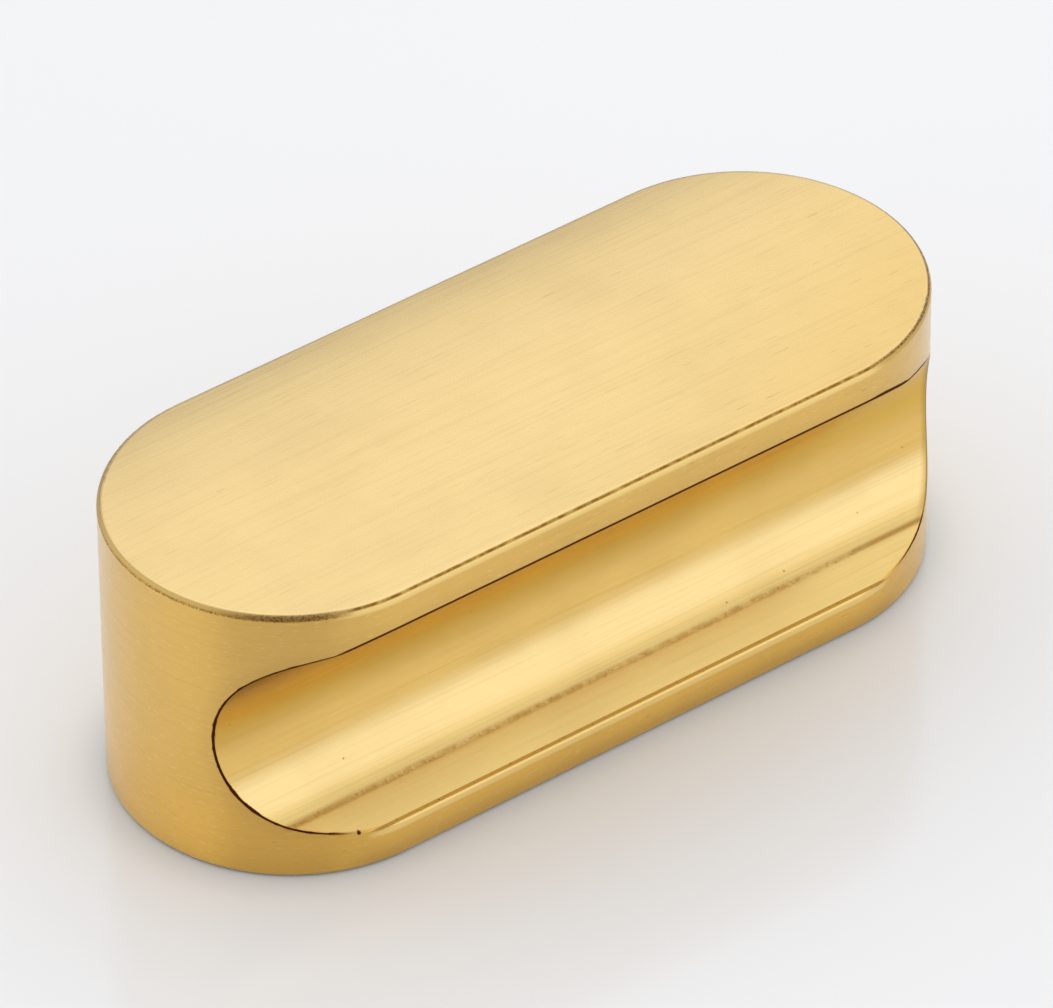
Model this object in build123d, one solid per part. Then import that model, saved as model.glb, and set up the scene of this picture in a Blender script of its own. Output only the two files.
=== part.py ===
from build123d import *
import math
import os

# A solid brass finger pull for a drawer front: an obround bar with a cove
# milled along one side for the fingertips, and two tapped holes in its back.
# Millimetres. The back lies on z = 0, +Z points away from the drawer front,
# X runs along the pull, and the finger cove opens towards -Y.

# Outer body
length = 60.0
width = 24.0
projection = 21.0
face_edge_radius = 0.4
back_edge_radius = 0.4

# Finger cove: the lip and the sill are what is left above and below it at the
# flat side wall, and the depth is taken from that wall
lip_thickness = 2.67
sill_thickness = 3.05
cove_depth = 6.05
rim_edge_radius = 0.15

# The lip is bevelled underneath, and the bevel runs into the cove's arc, which
# on its own would reach the side wall this far below the lip's edge
lip_bevel_drop = 0.58
lip_bevel_depth = 0.87
lip_blend_radius = 1.5

# Flat ledge that the fingertips slide over, from the side wall in to the
# crease where the arc starts; its front edge lies a little below the sill
ledge_depth = 2.45
ledge_drop = 0.3
ledge_edge_radius = 0.4

# Fixing holes, drilled and tapped M4 from the back: open to the thread's outer
# diameter as far as the tap reaches, and to the drill's diameter below that
hole_spacing = 32.0
thread_outer_diameter = 4.0
thread_length = 9.8
drill_diameter = 3.3
hole_depth = 12.0
drill_point_angle = 118.0
countersink_rim = 0.25

# How far a cutter reaches past the surface that it cuts, and the hair's
# breadth that keeps the cove's cutter off the flat side wall
overcut = 2.0
wall_skim = 0.01


def obround_bar():
    """The plain bar: an obround plan, with its front and back edges rounded."""
    bar = extrude(SlotOverall(length, width), projection)
    face_edges = bar.faces().sort_by(Axis.Z)[-1].edges()
    bar = fillet(face_edges, face_edge_radius)
    back_edges = bar.faces().sort_by(Axis.Z)[0].edges()
    return fillet(back_edges, back_edge_radius)


def cove_cutter():
    """The form cutter of the cove, drawn in the YZ plane and run along the whole bar."""
    side_wall = -width / 2
    mouth = projection - lip_thickness - lip_bevel_drop - sill_thickness
    cove_radius = (mouth**2 / 4 + cove_depth**2) / (2 * cove_depth)
    center_y = side_wall + cove_depth - cove_radius
    center_z = sill_thickness + mouth / 2

    def half_height(y):
        """Half the height of the arc's circle at this y."""
        return math.sqrt(cove_radius**2 - (y - center_y) ** 2)

    deepest = (side_wall + cove_depth, center_z)
    crease_y = side_wall + ledge_depth
    crease = (crease_y, center_z - half_height(crease_y))
    bevel_y = side_wall + lip_bevel_depth
    bevel_end = (bevel_y, center_z + half_height(bevel_y))

    # All in front of the side wall is open air
    air_back = side_wall - wall_skim
    air_front = side_wall - overcut
    air_bottom = -overcut
    air_top = projection + overcut
    lip_corner = (air_back, projection - lip_thickness)
    ledge_corner = (air_back, sill_thickness - ledge_drop)
    arc = ThreePointArc(bevel_end, deepest, crease)
    outline = Polyline(
        crease,
        ledge_corner,
        (air_back, air_bottom),
        (air_front, air_bottom),
        (air_front, air_top),
        (air_back, air_top),
        lip_corner,
        bevel_end,
    )
    section = make_face([*arc.edges(), *outline.edges()])
    for corner, radius in ((ledge_corner, ledge_edge_radius), (bevel_end, lip_blend_radius)):
        nearest = section.vertices().sort_by_distance(corner)[0]
        section = fillet(nearest, radius)
    return extrude(Plane.YZ * section, length / 2 + overcut, both=True)


def break_cove_rim(body):
    """Take the burr off the lip, and off the cove's edge where it runs out through the rounded ends."""
    straight_half = (length - width) / 2
    under_lip = projection - lip_thickness - rim_edge_radius
    rim = []
    for edge in body.edges():
        heights = edge.bounding_box()
        on_wall = heights.min.Z > back_edge_radius and heights.max.Z < projection - face_edge_radius
        at_end = abs(edge.center().X) > straight_half
        if on_wall and (at_end or heights.min.Z > under_lip):
            rim.append(edge)
    return fillet(rim, rim_edge_radius)


def fixing_hole():
    """One blind hole: a countersunk mouth, the tapped length, the drill's bore and its point."""
    thread_radius = thread_outer_diameter / 2
    drill_radius = drill_diameter / 2
    mouth_radius = thread_radius + countersink_rim
    point_length = drill_radius / math.tan(math.radians(drill_point_angle / 2))
    half_section = make_face(
        Polyline(
            (0, -overcut),
            (mouth_radius, -overcut),
            (mouth_radius, 0),
            (thread_radius, countersink_rim),
            (thread_radius, thread_length),
            (drill_radius, thread_length + thread_radius - drill_radius),
            (drill_radius, hole_depth),
            (0, hole_depth + point_length),
            close=True,
        )
    )
    return revolve(Plane.XZ * half_section, Axis.Z)


pull = break_cove_rim(obround_bar() - cove_cutter())
for hole_x in (-hole_spacing / 2, hole_spacing / 2):
    pull -= Pos(hole_x, 0, 0) * fixing_hole()

os.makedirs("parts", exist_ok=True)
export_step(pull, "parts/pull_body.step")
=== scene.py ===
import math

import bmesh
import bpy
from mathutils import Matrix, Vector


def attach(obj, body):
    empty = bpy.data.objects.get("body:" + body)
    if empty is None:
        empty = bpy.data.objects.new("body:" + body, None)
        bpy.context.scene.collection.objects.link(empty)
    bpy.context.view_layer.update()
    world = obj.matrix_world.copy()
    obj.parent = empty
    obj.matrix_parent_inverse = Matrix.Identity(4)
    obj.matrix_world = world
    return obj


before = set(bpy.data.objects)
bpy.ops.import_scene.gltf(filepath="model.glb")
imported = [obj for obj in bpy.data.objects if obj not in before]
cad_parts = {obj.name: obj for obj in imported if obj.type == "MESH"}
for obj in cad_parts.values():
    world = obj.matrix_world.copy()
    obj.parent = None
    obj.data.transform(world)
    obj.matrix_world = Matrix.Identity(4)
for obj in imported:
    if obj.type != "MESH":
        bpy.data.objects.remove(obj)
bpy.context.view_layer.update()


# The pull: an obround bar of solid brass with a finger cove milled along one side. It is linished
# lengthwise, polished in the cove and lacquered, and polishing dirt has stayed in the crease and dried
# dark along the edges. Its colour also holds painted light: painted highlights along the face's and the
# ledge's edges, painted shade along the rim, in the crease, over the face's round ends, under the lip
# and low on the front wall, and tones up the cove that stand in for what it reflects.

# Sizes in millimetres: depths go in from the front wall, and heights go up from the back
mm = 0.001
half_straight = 18.0
end_radius = 12.0
face_height = 21.0
cove_center_depth = -1.44
cove_center_height = 10.4
cove_radius = 7.49
lip_edge_height = 18.33
lip_bevel_depth = 0.87
lip_bevel_slope = 0.925
crease_depth = 2.45
crease_height = 4.0
ledge_front_height = 2.75
ledge_slope = (crease_height - ledge_front_height) / crease_depth
hole_spread = 16.0
hole_mouth_radius = 2.25

# What lies on the brass, and the brass that wear has brightened. The three patina colours also colour
# painted shade, and the worn brass also colours painted highlights.
dark_patina_and_shade = (0.114, 0.030, 0.003, 1.0)
olive_patina_and_shade = (0.42, 0.26, 0.065, 1.0)
amber_patina_and_shade = (0.44, 0.23, 0.04, 1.0)
worn_and_highlight_brass = (0.98, 0.71, 0.24, 1.0)


class Recipe:
    """A node tree in the making. Most methods add nodes and hand back their output."""

    def __init__(self, owner):
        owner.use_nodes = True
        self.tree = owner.node_tree

    def node(self, kind, **settings):
        made = self.tree.nodes.new(kind)
        for setting, value in settings.items():
            setattr(made, setting, value)
        return made

    def feed(self, socket, value):
        if isinstance(value, bpy.types.NodeSocket):
            self.tree.links.new(value, socket)
        else:
            socket.default_value = value

    def calc(self, operation, *terms, kind="ShaderNodeMath"):
        made = self.node(kind, operation=operation)
        for socket, term in zip(made.inputs, terms):
            self.feed(socket, term)
        return made.outputs[0]

    def vector_calc(self, operation, *terms):
        return self.calc(operation, *terms, kind="ShaderNodeVectorMath")

    def chain(self, operation, first, *others):
        for other in others:
            first = self.calc(operation, first, other)
        return first

    def plus(self, *terms):
        return self.chain("ADD", *terms)

    def minus(self, first, second):
        return self.calc("SUBTRACT", first, second)

    def times(self, *terms):
        return self.chain("MULTIPLY", *terms)

    def least(self, *terms):
        return self.chain("MINIMUM", *terms)

    def greatest(self, *terms):
        return self.chain("MAXIMUM", *terms)

    def rest(self, share):
        """What a share leaves over."""
        return self.minus(1.0, share)

    def reach(self, first, second):
        """The length of a step of first one way and second across it."""
        squares = self.plus(self.times(first, first), self.times(second, second))
        return self.calc("SQRT", squares)

    def fade(self, value, none, full):
        """A soft step: 0 where the value is at none, 1 where it is at full."""
        made = self.node("ShaderNodeMapRange", interpolation_type="SMOOTHSTEP")
        self.feed(made.inputs["Value"], value)
        self.feed(made.inputs["From Min"], none)
        self.feed(made.inputs["From Max"], full)
        return made.outputs["Result"]

    def band(self, value, start, full_from, full_to, stop):
        """A soft band: 0 outside start and stop, 1 from full_from to full_to."""
        return self.times(self.fade(value, start, full_from), self.fade(value, stop, full_to))

    def spread(self, value, low, high):
        """Takes a value from 0 to 1 to one from low to high."""
        made = self.node("ShaderNodeMapRange")
        self.feed(made.inputs["Value"], value)
        made.inputs["To Min"].default_value = low
        made.inputs["To Max"].default_value = high
        return made.outputs["Result"]

    def vector(self, x, y, z):
        made = self.node("ShaderNodeCombineXYZ")
        for socket, value in zip(made.inputs, (x, y, z)):
            self.feed(socket, value)
        return made.outputs[0]

    def noise(self, place, fineness, detail=2.0, roughness=0.5):
        made = self.node("ShaderNodeTexNoise")
        self.feed(made.inputs["Vector"], place)
        made.inputs["Scale"].default_value = fineness
        made.inputs["Detail"].default_value = detail
        made.inputs["Roughness"].default_value = roughness
        return made.outputs[0]

    def mix(self, kind, share, under, over):
        made = self.node("ShaderNodeMix", data_type=kind)
        wanted = {"FLOAT": "VALUE", "VECTOR": "VECTOR", "RGBA": "RGBA"}[kind]
        self.feed(made.inputs[0], share)
        ends = [socket for socket in made.inputs if socket.type == wanted and socket.name in "AB"]
        self.feed(ends[0], under)
        self.feed(ends[1], over)
        return next(socket for socket in made.outputs if socket.type == wanted)

    def blend(self, share, under, over):
        return self.mix("FLOAT", share, under, over)

    def tint(self, share, under, over):
        return self.mix("RGBA", share, under, over)

    def relief(self, height, depth):
        """A bump node, as deep as depth, in metres, for the whole range of the height."""
        made = self.node("ShaderNodeBump")
        made.inputs["Strength"].default_value = 1.0
        made.inputs["Distance"].default_value = depth
        self.feed(made.inputs["Height"], height)
        return made


# A pair named step, reach or size says where a soft step is nothing and where it is full, and
# any other pair is the two ends of a range. Four numbers say where a soft band starts, where it
# is full, and where it stops.
at_skin = -0.04
under_skin = -0.20
cove_heights = (1.0, 2.2, 19.0, 20.0)
back_step = (0.16, 0.04)
left_end_step = (-21.0, -23.0)
right_end_step = (18.5, 20.5)
near_right_lean = 0.5
near_right_step = (2.0, 24.0)

# How the brushing draws marks out, where less means longer: the streaks, and the dashes on flat
# surfaces and on the wall. Then how fine each kind of mark is.
streak_stretch = 0.012
dash_stretch = (0.04, 0.16)
fine_streak_scale = 9.5
broad_streak_scale = 2.6
dash_scale = 9.0
cloud_scale = 0.16
blotch_scale = 1.1
grit_scale = 7.5
pit_scale = 0.35
pit_size = (0.038, 0.016)
ragged = 0.6


class Place:
    """Where a point of the pull lies, in millimetres, on which surface, and in what grain."""

    def __init__(self, f):
        place = f.node("ShaderNodeTexCoord").outputs["Object"]
        self.point = f.vector_calc("MULTIPLY", place, (1 / mm, 1 / mm, 1 / mm))
        split = f.node("ShaderNodeSeparateXYZ")
        f.feed(split.inputs[0], self.point)
        self.x, self.y, self.z = split.outputs
        self.far_out = f.calc("ABSOLUTE", self.x)
        self.past_straight = f.greatest(f.minus(self.far_out, half_straight), 0.0)
        self.depth = f.plus(self.y, end_radius)
        self.find_gaps(f)
        self.find_surfaces(f)
        self.find_grain(f)

    def find_gaps(self, f):
        """How far a point lies outside the obround wall, above the face and in the cove's metal."""
        self.wall_gap = f.minus(f.reach(self.past_straight, self.y), end_radius)
        self.face_gap = f.minus(self.z, face_height)
        above_center = f.minus(self.z, cove_center_height)
        from_center = f.reach(f.minus(self.depth, cove_center_depth), above_center)
        arc_gap = f.minus(from_center, cove_radius)
        ledge_height = f.plus(f.times(self.depth, ledge_slope), ledge_front_height)
        past_crease = f.minus(self.depth, crease_depth)
        ledge_gap = f.greatest(f.minus(ledge_height, self.z), past_crease, above_center)
        bevel_height = f.minus(lip_edge_height, f.times(self.depth, lip_bevel_slope))
        over_bevel = f.times(f.minus(self.z, bevel_height), math.cos(math.atan(lip_bevel_slope)))
        past_bevel = f.minus(self.depth, lip_bevel_depth)
        lip_gap = f.greatest(over_bevel, past_bevel, f.minus(cove_center_height, self.z))
        self.cove_gap = f.least(arc_gap, ledge_gap, lip_gap)

    def find_surfaces(self, f):
        """Shares from 0 to 1: how far a point belongs to each surface, each end and the near right."""
        off_wall = f.fade(self.wall_gap, at_skin, under_skin)
        self.on_face = f.fade(self.face_gap, under_skin, at_skin)
        self.in_cove = f.times(off_wall, f.band(self.z, *cove_heights))
        self.on_back = f.times(f.fade(self.z, *back_step), off_wall)
        self.on_wall = f.rest(f.greatest(off_wall, self.on_face))
        self.left_end = f.fade(self.x, *left_end_step)
        self.right_end = f.fade(self.x, *right_end_step)
        self.round_end = f.greatest(self.left_end, self.right_end)
        leaning = f.minus(f.times(self.x, near_right_lean), self.y)
        self.near_right = f.fade(leaning, *near_right_step)

    def find_grain(self, f):
        """Brushing along the bar on the face and in the cove and level round the wall, and specks."""
        turned = f.times(f.calc("ARCTAN2", self.past_straight, f.times(self.y, -1.0)), end_radius)
        from_middle = f.plus(f.least(self.far_out, half_straight), turned)
        along = f.blend(self.on_wall, self.x, f.times(from_middle, f.calc("SIGN", self.x)))
        across = f.times(self.y, f.rest(self.on_wall))
        streak_place = f.vector(f.times(along, streak_stretch), across, self.z)
        self.fine_streaks = f.noise(streak_place, fine_streak_scale)
        self.broad_streaks = f.noise(streak_place, broad_streak_scale)
        dash_along = f.times(along, f.spread(self.on_wall, *dash_stretch))
        self.dashes = f.noise(f.vector(dash_along, across, self.z), dash_scale, detail=1.0)
        self.clouds = f.noise(self.point, cloud_scale)
        self.blotches = f.noise(self.point, blotch_scale, detail=3.0, roughness=ragged)
        self.grit = f.noise(self.point, grit_scale, roughness=ragged)
        scatter = f.node("ShaderNodeTexVoronoi")
        f.feed(scatter.inputs["Vector"], self.point)
        scatter.inputs["Scale"].default_value = pit_scale
        self.pits = f.fade(scatter.outputs["Distance"], *pit_size)


# Painted light: the paler band low in the cove stands for its highlight, the deeper tones above it and
# under the lip for painted shade, the deeper lower wall for painted shade, and the darker face towards
# the near right for painted reflection.
face_brass = (0.84, 0.605, 0.237, 1.0)
near_face_brass = (0.79, 0.54, 0.165, 1.0)
wall_brass = (0.83, 0.51, 0.094, 1.0)
low_wall_brass = (0.87, 0.51, 0.072, 1.0)
cove_foot_brass = (0.795, 0.56, 0.195, 1.0)
cove_brass = (0.78, 0.575, 0.248, 1.0)
cove_back_brass = (0.806, 0.52, 0.143, 1.0)
under_lip_brass = (0.786, 0.483, 0.073, 1.0)
back_brass = (0.78, 0.55, 0.19, 1.0)
low_wall_step = (10.0, 3.0)
cove_foot_step = (5.1, 4.4)
cove_back_step = (6.3, 7.7)
under_lip_step = (8.6, 11.0)


def clean_brass(f, at):
    """The brass before its marks: a tone for each surface, and painted light in its bands over the
    face, wall and cove.
    """
    cove_tone = f.tint(f.fade(at.z, *cove_back_step), cove_brass, cove_back_brass)
    cove_tone = f.tint(f.fade(at.z, *under_lip_step), cove_tone, under_lip_brass)
    cove_tone = f.tint(f.fade(at.z, *cove_foot_step), cove_tone, cove_foot_brass)
    face_tone = f.tint(at.near_right, face_brass, near_face_brass)
    wall_tone = f.tint(f.fade(at.z, *low_wall_step), wall_brass, low_wall_brass)
    brass = f.tint(at.in_cove, f.tint(at.on_face, wall_tone, face_tone), cove_tone)
    return f.tint(at.on_back, brass, back_brass)


fine_streak_share = 0.7
broad_streak_share = 0.3
cutter_x = 44.0
cutter_y = -26.0
cutter_mark_scale = 3.2


def scratch_height(f, at):
    """How high the metal stands between scratches. The back keeps the arcs of its facing cutter."""
    brushing = f.plus(
        f.times(at.fine_streaks, fine_streak_share), f.times(at.broad_streaks, broad_streak_share)
    )
    cutter_arc = f.vector(f.reach(f.minus(at.x, cutter_x), f.minus(at.y, cutter_y)), 0.0, 0.0)
    cutter_marks = f.noise(cutter_arc, cutter_mark_scale, detail=3.0, roughness=ragged)
    return f.blend(at.on_back, brushing, cutter_marks)


dust_reach = (1.1, 0.0)
dust_shares = (0.1, 0.6)
low_streak_step = (0.55, 0.30)
low_streak_share = 0.16
cloud_step = (0.62, 0.30)
cloud_share = 0.10
dash_step = (0.69, 0.76)
dash_shares = (0.35, 0.90)
fleck_step = (0.38, 0.28)
fleck_share = 0.5


def scattered_marks(f, at, brass, scratches):
    """Adds dust round the screw holes, tarnish in streaks and clouds, dull dashes and bright flecks."""
    hole_gap = f.minus(f.reach(f.minus(at.far_out, hole_spread), at.y), hole_mouth_radius)
    dust = f.times(f.fade(hole_gap, *dust_reach), f.spread(at.blotches, *dust_shares))
    brass = f.tint(f.times(dust, at.on_back), brass, olive_patina_and_shade)
    low_streaks = f.fade(scratches, *low_streak_step)
    brass = f.tint(f.times(low_streaks, low_streak_share), brass, olive_patina_and_shade)
    brass = f.tint(f.times(f.fade(at.clouds, *cloud_step), cloud_share), brass, olive_patina_and_shade)
    dashes = f.times(f.fade(at.dashes, *dash_step), f.rest(at.in_cove))
    brass = f.tint(f.times(dashes, f.spread(at.near_right, *dash_shares)), brass, olive_patina_and_shade)
    flecks = f.times(f.fade(at.dashes, *fleck_step), at.on_wall)
    return f.tint(f.times(flecks, fleck_share), brass, worn_and_highlight_brass)


lip_rim_step = (15.5, 17.5)
lip_narrowing = (1.0, 1.4)
rim_widths = (0.11, 0.22)
rim_foot_step = (6.5, 4.0)
rim_foot_extra = -0.02
right_lip_extra = 0.10
rim_blot_step = (0.50, 0.72)
rim_blot_extra = 0.06
rim_core = 0.6
rim_start_step = (2.85, 3.4)
run_out_heights = (3.9, 4.6, 16.0, 17.3)
run_out_fading = 0.8
rim_shade_reach = (0.55, 0.08)
rim_shade_share = 0.6
rim_halo_reach = (1.5, 0.1)
rim_halo_step = (2.6, 4.0)
rim_halo_share = 0.15


def rim_marks(f, at):
    """The cove's rim: a dark line along it, partly dark patina and partly painted shade, fading low on
    the right end where a painted olive shade lies instead, and a darker halo on the wall beside it.
    """
    on_lip = f.fade(at.z, *lip_rim_step)
    gap = f.reach(at.wall_gap, f.times(at.cove_gap, f.spread(on_lip, *lip_narrowing)))
    width = f.plus(
        f.spread(on_lip, *rim_widths),
        f.times(f.fade(at.z, *rim_foot_step), rim_foot_extra),
        f.times(on_lip, at.right_end, right_lip_extra),
        f.times(f.fade(at.blotches, *rim_blot_step), at.round_end, rim_blot_extra),
    )
    # Low on the right end the dark line gives way to painted shade
    run_out = f.times(at.right_end, f.band(at.z, *run_out_heights))
    line = f.times(f.fade(gap, width, f.times(width, rim_core)), f.fade(at.z, *rim_start_step))
    line = f.times(line, f.rest(f.times(run_out, run_out_fading)))
    shade = f.times(f.fade(gap, *rim_shade_reach), run_out, rim_shade_share)
    halo = f.times(f.fade(gap, *rim_halo_reach), at.on_wall, f.fade(at.z, *rim_halo_step))
    return line, shade, f.times(halo, rim_halo_share)


# Where the crease's dirt and painted shade lie: a little off the crease, heavier in blots and towards
# the ends
crease_dark_depth = crease_depth + 0.05
crease_dark_height = crease_height + 0.06
crease_dark_blot_step = (0.38, 0.62)
crease_dark_end_step = (19.0, 21.5)
crease_dark_reach = (0.37, 0.02)
crease_dark_shares = (0.34, 0.74)
crease_speck_reach = (0.26, 0.05)
crease_speck_step = (0.52, 0.68)
right_crease_reach = (0.22, 0.06)
right_crease_share = 0.5
crease_speck_share = 0.40


def crease_marks(f, at):
    """Polishing dirt and painted shade along the crease, heavier in blots and at the ends, the dark
    specks in it, and a line of painted shade along it at the right end.
    """
    gap = f.reach(f.minus(at.depth, crease_dark_depth), f.minus(at.z, crease_dark_height))
    thick = f.greatest(f.fade(at.blotches, *crease_dark_blot_step), f.fade(at.far_out, *crease_dark_end_step))
    dirt_and_shade = f.times(f.fade(gap, *crease_dark_reach), f.spread(thick, *crease_dark_shares))
    specks = f.times(f.fade(gap, *crease_speck_reach), f.fade(at.grit, *crease_speck_step))
    right_crease_shade = f.times(f.fade(gap, *right_crease_reach), at.right_end, right_crease_share)
    return dirt_and_shade, f.times(f.greatest(specks, right_crease_shade), crease_speck_share)


ledge_line_depth = 0.17
ledge_line_height = 2.83
ledge_line_reach = (0.16, 0.08)
ledge_line_end_step = (21.5, 19.8)
ledge_line_share = 0.95
ledge_speck_step = (0.62, 0.70)
ledge_speck_share = 0.9
# The painted highlight on the ledge's front rounding
ledge_shine_depth = 0.02
ledge_shine_height = 2.50
ledge_shine_reach = (0.40, 0.14)
bead_x = -21.4
bead_height = 2.97
bead_size = (0.17, 0.09)
bead_front_step = (-4.0, -6.0)


def ledge_marks(f, at):
    """The ledge's front edge: an amber line, dark specks with a bead at the left, and a painted
    highlight on its rounding.
    """
    line_gap = f.reach(f.minus(at.depth, ledge_line_depth), f.minus(at.z, ledge_line_height))
    line = f.times(f.fade(line_gap, *ledge_line_reach), f.fade(at.far_out, *ledge_line_end_step))
    specks = f.times(line, f.fade(at.grit, *ledge_speck_step), ledge_speck_share)
    bead = f.fade(f.reach(f.minus(at.x, bead_x), f.minus(at.z, bead_height)), *bead_size)
    dark = f.greatest(specks, f.times(bead, f.fade(at.y, *bead_front_step)))
    shine_gap = f.reach(f.minus(at.depth, ledge_shine_depth), f.minus(at.z, ledge_shine_height))
    return f.times(line, ledge_line_share), dark, f.fade(shine_gap, *ledge_shine_reach)


# Places across the face's rounded edge: below 0 on the face's side, above 0 on the wall's
near_face_step = (-0.8, -0.5)
straight_line_band = (-0.23, -0.09, 0.04, 0.15)
straight_blot_step = (0.35, 0.62)
straight_blot_shares = (0.5, 1.0)
straight_amber_share = 0.90
straight_dark_share = 0.68
# The olive tone over the round ends' edges is painted shade
end_tone_band = (-0.34, -0.12, 0.28, 0.40)
left_tone_share = 0.52
right_tone_share = 0.38
left_line_band = (0.12, 0.24, 0.36, 0.44)
left_speck_step = (0.42, 0.58)
left_speck_share = 0.65
right_line_band = (-0.28, -0.16, -0.02, 0.08)
right_speck_step = (0.36, 0.58)
right_speck_shares = (0.35, 0.90)
corner_places = (-28.5, -26.0, -23.5, -21.5)
corner_front_step = (-3.0, -7.0)
corner_speck_step = (0.40, 0.62)
corner_speck_shares = (0.45, 0.90)
edge_dark_share = 0.85
# Where the painted highlight lies, just below the edge's line along the straights
edge_shine_band = (0.12, 0.24, 0.45, 0.80)


def face_edge_marks(f, at):
    """The face's edge: painted olive shade over the round ends, an amber line along the straights, dark
    specks, and a painted highlight below the line.
    """
    over_edge = f.minus(at.wall_gap, at.face_gap)
    near_face = f.fade(at.face_gap, *near_face_step)
    straight_blots = f.spread(f.fade(at.blotches, *straight_blot_step), *straight_blot_shares)
    straight_line = f.times(f.band(over_edge, *straight_line_band), straight_blots)
    amber = f.times(straight_line, f.minus(near_face, at.round_end), straight_amber_share)

    end_tone = f.band(over_edge, *end_tone_band)
    olive_shade = f.blend(at.left_end, 0.0, f.times(end_tone, left_tone_share))
    olive_shade = f.blend(at.right_end, olive_shade, f.times(end_tone, right_tone_share))

    left_line = f.band(over_edge, *left_line_band)
    left_specks = f.times(left_line, f.fade(at.grit, *left_speck_step), left_speck_share)
    right_grit = f.spread(f.fade(at.grit, *right_speck_step), *right_speck_shares)
    right_specks = f.times(f.band(over_edge, *right_line_band), right_grit)
    corner = f.times(f.band(at.x, *corner_places), f.fade(at.y, *corner_front_step))
    corner_grit = f.spread(f.fade(at.grit, *corner_speck_step), *corner_speck_shares)
    dark = f.blend(at.left_end, f.times(straight_line, straight_dark_share), left_specks)
    dark = f.blend(at.right_end, dark, right_specks)
    dark = f.greatest(dark, f.times(end_tone, corner, corner_grit))

    shine = f.times(f.band(over_edge, *edge_shine_band), near_face, f.rest(at.round_end))
    return f.times(olive_shade, near_face), amber, f.times(dark, near_face, edge_dark_share), shine


# Where the painted shade low on the wall lies
front_wall_step = (-11.0, -11.9)
base_step = (2.0, 0.3)
base_edge_step = (0.05, 0.45)
base_shares = (0.05, 0.48)


def painted_base_shade(f, at):
    """Painted shade that darkens the wall towards the back's edge, most of it along the flat front."""
    on_front = f.fade(at.y, *front_wall_step)
    wall_darkening = f.times(f.fade(at.z, *base_step), f.spread(on_front, *base_shares))
    return f.times(wall_darkening, f.fade(at.z, *base_edge_step))


face_roll = 0.085
face_roll_step = (-1.0, 10.0)
far_edge_roll = 0.12
far_edge_step = (7.5, 12.5)


def rolled_face(f, at, surface):
    """The way that the surface looks, with the face linished off a little towards its far side."""
    roll = f.plus(
        f.times(f.fade(at.y, *face_roll_step), face_roll),
        f.times(f.fade(at.y, *far_edge_step), far_edge_roll),
    )
    tilt = f.vector(0.0, f.times(roll, at.on_face), 0.0)
    return f.vector_calc("NORMALIZE", f.vector_calc("ADD", surface, tilt))


face_roughness = 0.27
wall_roughness = 0.40
cove_roughness = 0.17
back_roughness = 0.33
streak_roughness = (-0.05, 0.05)
dark_mark_roughness = 0.25


def dulled(f, at, dark):
    """How rough each surface is, changed a little by its streaks and more where it is marked dark."""
    rough = f.blend(at.on_face, wall_roughness, face_roughness)
    rough = f.blend(at.in_cove, rough, cove_roughness)
    rough = f.blend(at.on_back, rough, back_roughness)
    return f.plus(rough, f.spread(at.fine_streaks, *streak_roughness), f.times(dark, dark_mark_roughness))


shine_share = 0.9
pit_share = 0.5
scratch_depth = 0.0000008
grain_strength = 0.9
along_bar = (1.0, 0.0, 0.0)
upright = (0.0, 0.0, 1.0)
grazing_tint = (0.88, 0.92, 0.98, 1.0)
lacquer_roughness = 0.25
lacquer_weights = (1.0, 0.4)


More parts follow.
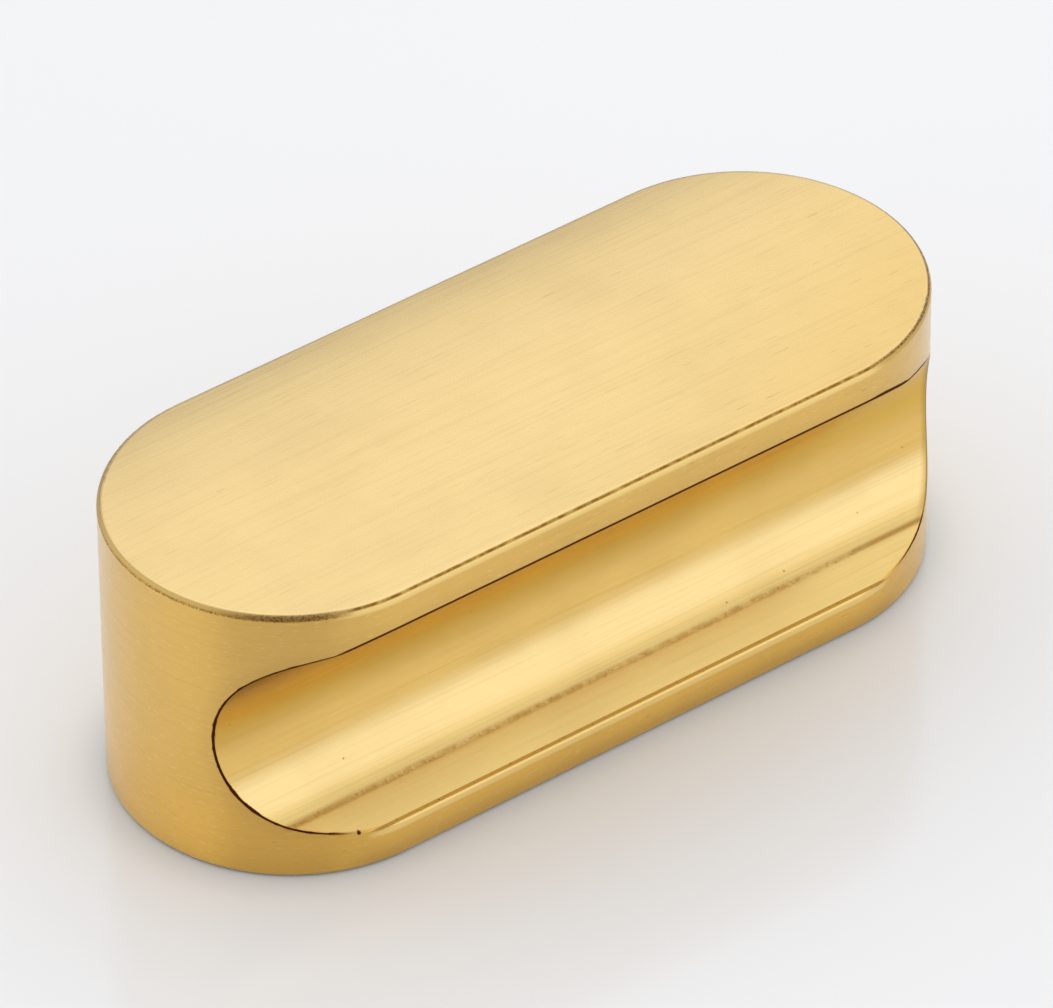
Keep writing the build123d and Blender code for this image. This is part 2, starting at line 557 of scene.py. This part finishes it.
def brass_finish():
    """The pull's material: clean brass, its marks, its painted highlights and shade, the grain of its
    brushing and its lacquer.
    """
    material = bpy.data.materials.new("linished_brass")
    f = Recipe(material)
    shader = f.tree.nodes["Principled BSDF"]
    at = Place(f)
    scratches = scratch_height(f, at)
    rim_line, rim_shade, rim_halo = rim_marks(f, at)
    crease_dirt_and_shade, crease_specks_and_shade = crease_marks(f, at)
    ledge_line, ledge_specks, ledge_shine = ledge_marks(f, at)
    edge_end_shade, edge_line, edge_specks, edge_shine = face_edge_marks(f, at)

    # The marks and the painted light lie over one another in this order, the dark ones on top
    brass = scattered_marks(f, at, clean_brass(f, at), scratches)
    # Darker on the wall beside the rim, and painted shade low on the wall
    wall_darkening = f.times(at.on_wall, f.greatest(rim_halo, painted_base_shade(f, at)))
    brass = f.tint(wall_darkening, brass, amber_patina_and_shade)
    # Painted highlights along the face's and ledge's edges, then painted olive shade
    shine = f.times(f.greatest(edge_shine, ledge_shine), shine_share)
    brass = f.tint(shine, brass, worn_and_highlight_brass)
    olive_shade = f.greatest(edge_end_shade, rim_shade)
    brass = f.tint(olive_shade, brass, olive_patina_and_shade)
    amber = f.greatest(ledge_line, crease_dirt_and_shade, edge_line)
    brass = f.tint(amber, brass, amber_patina_and_shade)
    cove_pits = f.times(at.pits, at.in_cove, pit_share)
    dark = f.greatest(rim_line, edge_specks, crease_specks_and_shade, ledge_specks, cove_pits)
    f.feed(shader.inputs["Base Color"], f.tint(dark, brass, dark_patina_and_shade))
    f.feed(shader.inputs["Roughness"], dulled(f, at, dark))
    shader.inputs["Metallic"].default_value = 1.0
    shader.inputs["Specular Tint"].default_value = grazing_tint

    # The grain of the brushing spreads reflections across its lines
    surface = f.node("ShaderNodeNewGeometry").outputs["Normal"]
    across_bar = f.vector_calc("CROSS_PRODUCT", surface, along_bar)
    f.feed(shader.inputs["Tangent"], f.mix("VECTOR", at.on_wall, across_bar, upright))
    shader.inputs["Anisotropic"].default_value = grain_strength
    relief = f.relief(scratches, scratch_depth)
    f.feed(relief.inputs["Normal"], rolled_face(f, at, surface))
    f.feed(shader.inputs["Normal"], relief.outputs[0])

    # The lacquer is thinner in the cove, and gone where dirt, tarnish and painted shade lie
    lacquered = f.rest(f.greatest(dark, olive_shade, amber))
    lacquer = f.times(lacquered, f.spread(at.in_cove, *lacquer_weights))
    f.feed(shader.inputs["Coat Weight"], lacquer)
    shader.inputs["Coat Roughness"].default_value = lacquer_roughness
    return material


pull_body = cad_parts["pull_body"]
pull_body.data.materials.clear()
pull_body.data.materials.append(brass_finish())


# The threads: M4, cut by a hand tap in the two blind holes of the back. Each is one ridge of
# brass that winds up its hole, bright from cutting, with a trace of oil left in its grooves.
thread_pitch = 0.7
thread_start = 0.56
thread_stop = 10.35
thread_crest_radius = 1.66
thread_root_radius = 2.03
thread_crest_half = 0.09
thread_root_half = 0.30
lead_in_turns = 0.6
lead_in_share = 0.04
steps_per_turn = 48
sharp_angle = 30.0
cut_brass = (0.86, 0.64, 0.28, 1.0)
oiled_brass = (0.34, 0.21, 0.06, 1.0)
smear_scale = 900.0
smear_step = (0.40, 0.66)
smear_roughness = (0.24, 0.46)
chatter_scale = 6000.0
chatter_depth = 0.000002


def tapped_brass():
    """Bright cut brass with smears of oil and the fine chatter of the tap."""
    material = bpy.data.materials.new("tapped_brass")
    f = Recipe(material)
    shader = f.tree.nodes["Principled BSDF"]
    place = f.node("ShaderNodeTexCoord").outputs["Object"]
    smears = f.noise(place, smear_scale, detail=3.0, roughness=ragged)
    tone = f.tint(f.fade(smears, *smear_step), cut_brass, oiled_brass)
    f.feed(shader.inputs["Base Color"], tone)
    f.feed(shader.inputs["Roughness"], f.spread(smears, *smear_roughness))
    chatter = f.relief(f.noise(place, chatter_scale), chatter_depth)
    f.feed(shader.inputs["Normal"], chatter.outputs[0])
    shader.inputs["Metallic"].default_value = 1.0
    return material


def tapped_thread(name, hole_x):
    """One ridge, a closed four-sided strip wound up the hole's wall and buried in it at its root."""
    ridge = bmesh.new()
    turns = (thread_stop - thread_start) / thread_pitch
    rows = []
    for step in range(int(turns * steps_per_turn) + 1):
        turn = step / steps_per_turn
        angle = 2 * math.pi * turn
        height = thread_start + turn * thread_pitch
        grown = min(1.0, lead_in_share + turn / lead_in_turns)
        crest_radius = thread_root_radius + (thread_crest_radius - thread_root_radius) * grown
        crest_half = thread_root_half + (thread_crest_half - thread_root_half) * grown
        row = []
        for radius, rise in (
            (thread_root_radius, -thread_root_half),
            (crest_radius, -crest_half),
            (crest_radius, crest_half),
            (thread_root_radius, thread_root_half),
        ):
            spot = (hole_x + radius * math.cos(angle), radius * math.sin(angle), height + rise)
            row.append(ridge.verts.new(Vector(spot) * mm))
        rows.append(row)
    for lower, upper in zip(rows, rows[1:]):
        for side in range(len(lower)):
            after = (side + 1) % len(lower)
            ridge.faces.new((lower[side], lower[after], upper[after], upper[side]))
    ridge.faces.new(rows[0])
    ridge.faces.new(rows[-1])
    bmesh.ops.recalc_face_normals(ridge, faces=ridge.faces)
    for face in ridge.faces:
        face.smooth = True
    mesh = bpy.data.meshes.new(name)
    ridge.to_mesh(mesh)
    ridge.free()
    mesh.set_sharp_from_angle(angle=math.radians(sharp_angle))
    mesh.materials.append(thread_brass)
    thread = bpy.data.objects.new(name, mesh)
    bpy.context.scene.collection.objects.link(thread)
    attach(thread, "root")


thread_brass = tapped_brass()
tapped_thread("fixing_thread_left", -hole_spread)
tapped_thread("fixing_thread_right", hole_spread)


# The surface that the pull stands on for its picture: a pale, slightly glossy plastic sheet, with a
# painted contact shadow: its colour turns greyer where ambient occlusion finds the pull close over it.
floor_half = 1.2
floor_drop = 0.00003
sheet_white = (0.885, 0.885, 0.888, 1.0)
sheet_shade = (0.875, 0.875, 0.879, 1.0)
sheet_mottle_scale = 9.0
sheet_roughness = (0.10, 0.16)
contact_shadow_grey = (0.68, 0.72, 0.76, 1.0)
contact_reach = 0.004
contact_rays = 8
contact_step = (0.45, 0.95)

sheet_material = bpy.data.materials.new("pale_sheet")
sheet = Recipe(sheet_material)
sheet_shader = sheet.tree.nodes["Principled BSDF"]
sheet_place = sheet.node("ShaderNodeTexCoord").outputs["Object"]
sheet_mottle = sheet.noise(sheet_place, sheet_mottle_scale, detail=3.0)
sheet_tone = sheet.tint(sheet_mottle, sheet_shade, sheet_white)
# The painted contact shadow, from how close the pull stands over the sheet
nearness = sheet.node("ShaderNodeAmbientOcclusion", samples=contact_rays)
nearness.inputs["Distance"].default_value = contact_reach
openness = sheet.fade(nearness.outputs["AO"], *contact_step)
sheet_tone = sheet.tint(openness, contact_shadow_grey, sheet_tone)
sheet.feed(sheet_shader.inputs["Base Color"], sheet_tone)
sheet.feed(sheet_shader.inputs["Roughness"], sheet.spread(sheet_mottle, *sheet_roughness))

floor_mesh = bpy.data.meshes.new("floor_sheet")
floor_corners = [(-1, -1), (1, -1), (1, 1), (-1, 1)]
floor_mesh.from_pydata(
    [(cx * floor_half, cy * floor_half, -floor_drop) for cx, cy in floor_corners], [], [(0, 1, 2, 3)]
)
floor_mesh.materials.append(sheet_material)
floor_sheet = bpy.data.objects.new("floor_sheet", floor_mesh)
bpy.context.scene.collection.objects.link(floor_sheet)


# The light: a pale tent round the table, brighter where soft boxes shine through it from the
# front right, from overhead and from the left, and darker low down behind. At the front left,
# below the camera, it is open to a dim, warm room.
tent_tone = (0.97, 0.98, 1.0, 1.0)
tent_brightness = 0.925
tent_patches = [
    # direction, half angle of the full patch, half angle where it ends, brightness that it adds
    ((0.47, -0.74, 0.48), 9.0, 26.0, 0.48),
    ((0.47, 0.40, 0.79), 16.0, 44.0, 0.40),
    ((0.35, 0.92, 0.17), 15.0, 32.0, -0.40),
    ((-0.85, 0.45, 0.20), 25.0, 50.0, 0.25),
]
opening_axis = (-0.68, -0.73, 0.0)
opening_inner_angle = 28.0
opening_outer_angle = 38.0
opening_top = 32.0
room_tone = (0.20, 0.11, 0.035, 1.0)
tent = bpy.data.worlds.new("pale_tent")
cloth = Recipe(tent)
looking = cloth.node("ShaderNodeTexCoord").outputs["Generated"]


def toward(axis):
    """How well the direction of a point of the tent agrees with an axis: the cosine between them."""
    made = cloth.node("ShaderNodeVectorMath", operation="DOT_PRODUCT")
    cloth.feed(made.inputs[0], looking)
    cloth.feed(made.inputs[1], axis)
    return made.outputs["Value"]


def patch_of_tent(direction, inner_angle, outer_angle):
    """A round patch of the tent, full within the inner angle and gone at the outer one."""
    agreement = toward(Vector(direction).normalized())
    rim = math.cos(math.radians(outer_angle))
    full = math.cos(math.radians(inner_angle))
    return cloth.fade(agreement, rim, full)


brightness = tent_brightness
for direction, inner_angle, outer_angle, added in tent_patches:
    patch = patch_of_tent(direction, inner_angle, outer_angle)
    brightness = cloth.plus(brightness, cloth.times(patch, added))
height = toward((0.0, 0.0, 1.0))
low = cloth.fade(height, math.sin(math.radians(opening_top)), math.sin(math.radians(opening_top / 2)))
opening = cloth.times(patch_of_tent(opening_axis, opening_inner_angle, opening_outer_angle), low)
tent_light = cloth.tree.nodes["Background"]
cloth.feed(tent_light.inputs["Color"], cloth.tint(opening, tent_tone, room_tone))
cloth.feed(tent_light.inputs["Strength"], brightness)
bpy.context.scene.world = tent
bpy.context.scene.view_settings.view_transform = "Standard"


# The camera: a long lens, high on the front left, turned a hair about its own axis.
view_azimuth = math.radians(-36.954)
view_elevation = math.radians(38.635)
view_roll = math.radians(-0.397)
view_distance = 0.6822
lens_length = 366.3
sensor_width = 36.0
nearest_seen = 0.05
farthest_seen = 10.0
pull_middle = Vector((0.0, 0.0, 0.0105))
aim_right = 0.000409
aim_up = 0.000847

back = Vector((
    math.sin(view_azimuth) * math.cos(view_elevation),
    -math.cos(view_azimuth) * math.cos(view_elevation),
    math.sin(view_elevation),
))
level_right = Vector((0.0, 0.0, 1.0)).cross(back).normalized()
level_up = back.cross(level_right)
right = level_right * math.cos(view_roll) + level_up * math.sin(view_roll)
up = level_up * math.cos(view_roll) - level_right * math.sin(view_roll)

lens = bpy.data.cameras.new("camera")
lens.lens = lens_length
lens.sensor_width = sensor_width
lens.sensor_fit = "HORIZONTAL"
lens.clip_start = nearest_seen
lens.clip_end = farthest_seen
camera = bpy.data.objects.new("camera", lens)
camera.matrix_world = Matrix.Translation(
    pull_middle + right * aim_right + up * aim_up + back * view_distance
) @ Matrix((right, up, back)).transposed().to_4x4()
bpy.context.scene.collection.objects.link(camera)
bpy.context.scene.camera = camera
